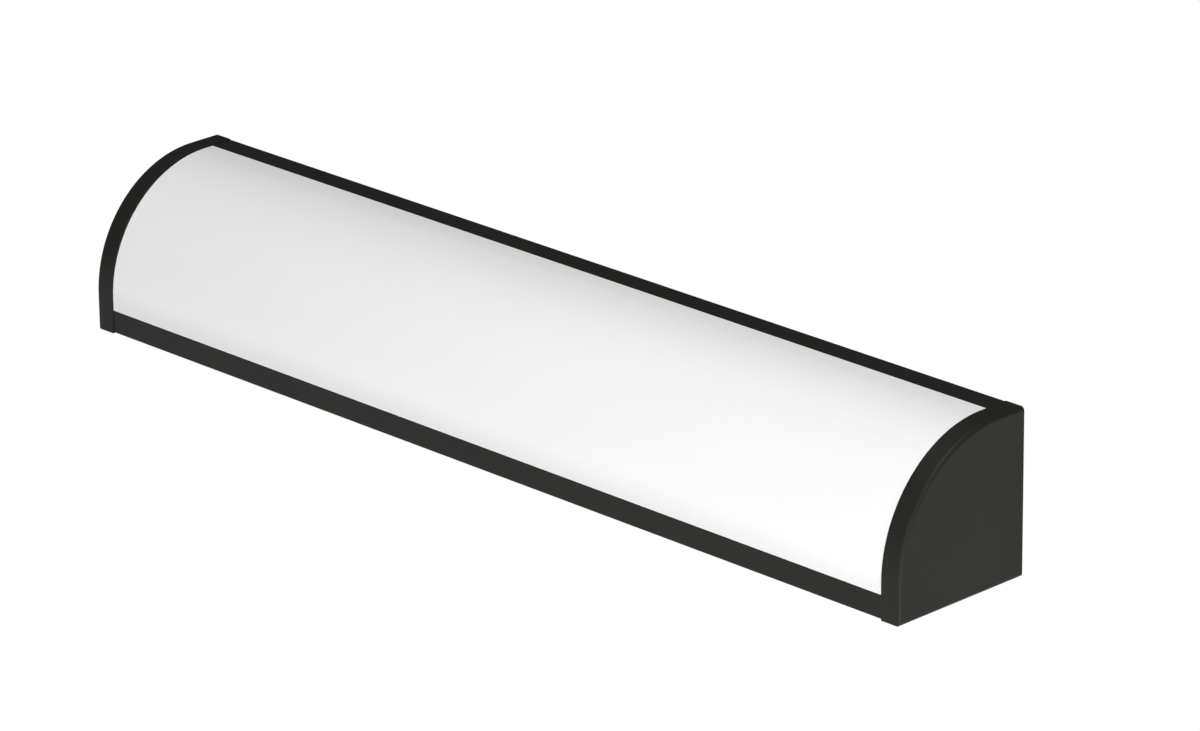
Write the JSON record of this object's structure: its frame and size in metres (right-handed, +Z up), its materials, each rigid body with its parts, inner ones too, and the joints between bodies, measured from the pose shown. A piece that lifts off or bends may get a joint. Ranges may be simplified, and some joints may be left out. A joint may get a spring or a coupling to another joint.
{
  "type": "vanity light bar",
  "caption": "Quarter-round wall light bar with a curved opal lens, black end caps and rails, and a hinged cover over a steel pan.",
  "frame": {"origin": "middle of the wire entry, in the wall plane", "axes": "+X along the bar, +Y into the wall, +Z up; the light faces -Y"},
  "size_m": [0.6096, 0.0923, 0.0957],
  "materials": {
    "zinc_steel": "galvanised sheet steel, satin",
    "white_enamel": "white reflective enamel",
    "black_finish": "satin black powder coat",
    "opal_acrylic": "opal white acrylic, fine satin",
    "black_screw": "black oxide",
    "zinc_screw": "bright zinc plate",
    "green_screw": "green dyed zinc plate",
    "tinned_copper": "tin plate",
    "white_board": "white solder mask",
    "lamp_chip": "yellow phosphor in a white frame",
    "white_nylon": "natural nylon",
    "black_nylon": "black nylon",
    "black_rubber": "black rubber",
    "driver_steel": "off-white painted case",
    "driver_plastic": "dark grey moulded ends",
    "terminal_nylon": "ivory nylon",
    "black_wire": "black PVC insulation",
    "white_wire": "white PVC insulation",
    "green_wire": "green PVC insulation",
    "red_wire": "red PVC insulation"
  },
  "bodies": {
    "wall_pan": {"back_pan": "zinc_steel", "wire_bushing": "black_nylon", "led_tray": "white_enamel", "tray_grommet": "black_rubber", "tray_screws": "zinc_screw", "led_board_left": "white_board", "led_board_right": "white_board", "led_chips_left": "lamp_chip", "led_chips_right": "lamp_chip", "board_connectors": "white_nylon", "board_screws": "zinc_screw", "driver_case": "driver_steel", "driver_ends": "driver_plastic", "driver_screws": "zinc_screw", "terminal_block": "terminal_nylon", "terminal_screws": "zinc_screw", "ground_lug": "tinned_copper", "ground_screw": "green_screw", "line_wire": "black_wire", "neutral_wire": "white_wire", "ground_wire": "green_wire", "led_wire_positive": "red_wire", "led_wire_negative": "black_wire", "jumper_wires": "white_wire", "screw_nuts": "zinc_screw"},
    "cover": {"lower_rail": "black_finish", "upper_rail": "black_finish", "end_cap_left": "black_finish", "end_cap_right": "black_finish", "diffuser_lens": "opal_acrylic", "cap_screws": "black_screw"},
    "left_cover_screw": {"cover_screw_left": "black_screw"},
    "right_cover_screw": {"cover_screw_right": "black_screw"}
  },
  "joints": [
    {"name": "cover_swing", "type": "hinge", "parent": "wall_pan", "child": "cover", "pos_m": [0, -0.004, 0.0431], "axis": [-1, 0, 0], "range_deg": [0, 65]},
    {"name": "left_screw_turn", "type": "hinge", "parent": "wall_pan", "child": "left_cover_screw", "pos_m": [-0.23, -0.009, -0.042], "axis": [0, 0, 1], "continuous": true},
    {"name": "right_screw_turn", "type": "hinge", "parent": "wall_pan", "child": "right_cover_screw", "pos_m": [0.23, -0.009, -0.042], "axis": [0, 0, 1], "continuous": true}
  ]
}
